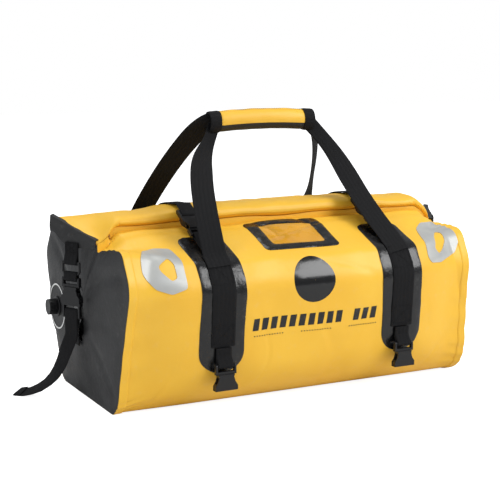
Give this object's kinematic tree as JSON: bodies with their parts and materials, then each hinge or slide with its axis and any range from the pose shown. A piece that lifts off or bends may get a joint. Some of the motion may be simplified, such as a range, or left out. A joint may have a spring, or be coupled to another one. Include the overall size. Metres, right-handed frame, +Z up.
{
  "type": "duffel bag",
  "caption": "Waterproof roll-top duffel bag with a wrapped carry handle, buckled closure straps, lashing buckles, end D-rings, a window pocket and an air valve.",
  "frame": {"origin": "on the floor, under the middle of the bag body", "axes": "+X along the bag towards its right end, -Y towards the front with the window pocket, +Z up"},
  "size_m": [0.8018, 0.3842, 0.439],
  "materials": {
    "yellow_coated_fabric": "matt coated cloth",
    "black_coated_fabric": "matt coated cloth",
    "black_welded_patch": "glossy welded film",
    "moulded_black_plastic": "moulded, satin",
    "white_print": "printed",
    "stiffener_plastic": "flat strip",
    "clear_film": "clear soft film",
    "black_print": "printed",
    "reflective_film": "silver reflective film",
    "black_webbing": "woven"
  },
  "bodies": {
    "bag": {"main_panel": "yellow_coated_fabric", "left_end_panel": "black_coated_fabric", "right_end_panel": "black_coated_fabric", "roll_top": "yellow_coated_fabric", "front_lip_stiffener": "stiffener_plastic", "back_lip_stiffener": "stiffener_plastic", "left_roll_end": "black_coated_fabric", "right_roll_end": "black_coated_fabric", "front_left_patch": "black_welded_patch", "front_right_patch": "black_welded_patch", "back_left_patch": "black_welded_patch", "back_right_patch": "black_welded_patch", "front_left_anchor_webbing": "black_webbing", "front_right_anchor_webbing": "black_webbing", "back_left_anchor_webbing": "black_webbing", "back_right_anchor_webbing": "black_webbing", "front_left_lashing_loop": "black_webbing", "front_right_lashing_loop": "black_webbing", "back_left_lashing_loop": "black_webbing", "back_right_lashing_loop": "black_webbing", "front_handle_legs": "black_webbing", "back_handle_legs": "black_webbing", "left_top_strap": "black_webbing", "right_top_strap": "black_webbing", "left_top_female_buckle": "moulded_black_plastic", "right_top_female_buckle": "moulded_black_plastic", "left_top_buckle_loop": "black_webbing", "right_top_buckle_loop": "black_webbing", "id_window_frame": "black_welded_patch", "id_window_film": "clear_film", "badge_disc": "black_print", "reflective_patches": "reflective_film", "valve_body": "moulded_black_plastic", "valve_nut": "moulded_black_plastic", "valve_label_ring": "white_print", "left_end_tab": "black_webbing", "right_end_tab": "black_webbing", "left_d_ring": "moulded_black_plastic", "right_d_ring": "moulded_black_plastic", "left_end_female_buckle": "moulded_black_plastic", "right_end_female_buckle": "moulded_black_plastic", "left_end_buckle_loop": "black_webbing", "right_end_buckle_loop": "black_webbing", "left_end_strap": "black_webbing", "right_end_strap": "black_webbing", "end_patches": "black_welded_patch"},
    "carry_handle": {"grip_webbing": "black_webbing", "grip_cover": "yellow_coated_fabric", "grip_lap": "black_coated_fabric", "grip_collars": "black_coated_fabric"},
    "grip_flap": {"grip_flap": "yellow_coated_fabric"},
    "valve_knob": {"valve_knob": "moulded_black_plastic"},
    "left_top_male_buckle": {"left_top_male_buckle": "moulded_black_plastic"},
    "left_end_male_buckle": {"left_end_male_buckle": "moulded_black_plastic"},
    "front_left_lashing_buckle": {"front_left_lashing_buckle": "moulded_black_plastic"},
    "back_left_lashing_buckle": {"back_left_lashing_buckle": "moulded_black_plastic"},
    "right_top_male_buckle": {"right_top_male_buckle": "moulded_black_plastic"},
    "right_end_male_buckle": {"right_end_male_buckle": "moulded_black_plastic"},
    "front_right_lashing_buckle": {"front_right_lashing_buckle": "moulded_black_plastic"},
    "back_right_lashing_buckle": {"back_right_lashing_buckle": "moulded_black_plastic"}
  },
  "joints": [
    {"name": "carry_handle_drop", "type": "slide", "parent": "bag", "child": "carry_handle", "axis": [0, 0, 1], "range_m": [-0.105, 0], "deforming": ["front_handle_legs", "back_handle_legs"]},
    {"name": "grip_flap_open", "type": "hinge", "parent": "carry_handle", "child": "grip_flap", "pos_m": [0, -0.00634, 0.43507], "axis": [-1, 0, 0], "range_deg": [0, 115]},
    {"name": "left_top_buckle_release", "type": "slide", "parent": "bag", "child": "left_top_male_buckle", "axis": [0, 0.866, 0.5], "range_m": [0, 0.02], "deforming": ["left_top_strap"]},
    {"name": "left_end_buckle_release", "type": "slide", "parent": "bag", "child": "left_end_male_buckle", "axis": [0, 0, -1], "range_m": [0, 0.02], "deforming": ["left_end_strap"]},
    {"name": "right_top_buckle_release", "type": "slide", "parent": "bag", "child": "right_top_male_buckle", "axis": [0, 0.866, 0.5], "range_m": [0, 0.02], "deforming": ["right_top_strap"]},
    {"name": "right_end_buckle_release", "type": "slide", "parent": "bag", "child": "right_end_male_buckle", "axis": [0, 0, -1], "range_m": [0, 0.02], "deforming": ["right_end_strap"]},
    {"name": "front_left_lashing_buckle_swing", "type": "hinge", "parent": "bag", "child": "front_left_lashing_buckle", "pos_m": [-0.155, -0.18707, 0.076], "axis": [-1, 0, 0], "range_deg": [-20, 95]},
    {"name": "front_right_lashing_buckle_swing", "type": "hinge", "parent": "bag", "child": "front_right_lashing_buckle", "pos_m": [0.155, -0.18707, 0.076], "axis": [-1, 0, 0], "range_deg": [-20, 95]},
    {"name": "back_left_lashing_buckle_swing", "type": "hinge", "parent": "bag", "child": "back_left_lashing_buckle", "pos_m": [-0.155, 0.18707, 0.076], "axis": [1, 0, 0], "range_deg": [-20, 95]},
    {"name": "back_right_lashing_buckle_swing", "type": "hinge", "parent": "bag", "child": "back_right_lashing_buckle", "pos_m": [0.155, 0.18707, 0.076], "axis": [1, 0, 0], "range_deg": [-20, 95]},
    {"name": "valve_knob_turn", "type": "hinge", "parent": "bag", "child": "valve_knob", "pos_m": [-0.32, 0.105, 0.125], "axis": [-1, 0, 0], "range_deg": [0, 90]}
  ]
}
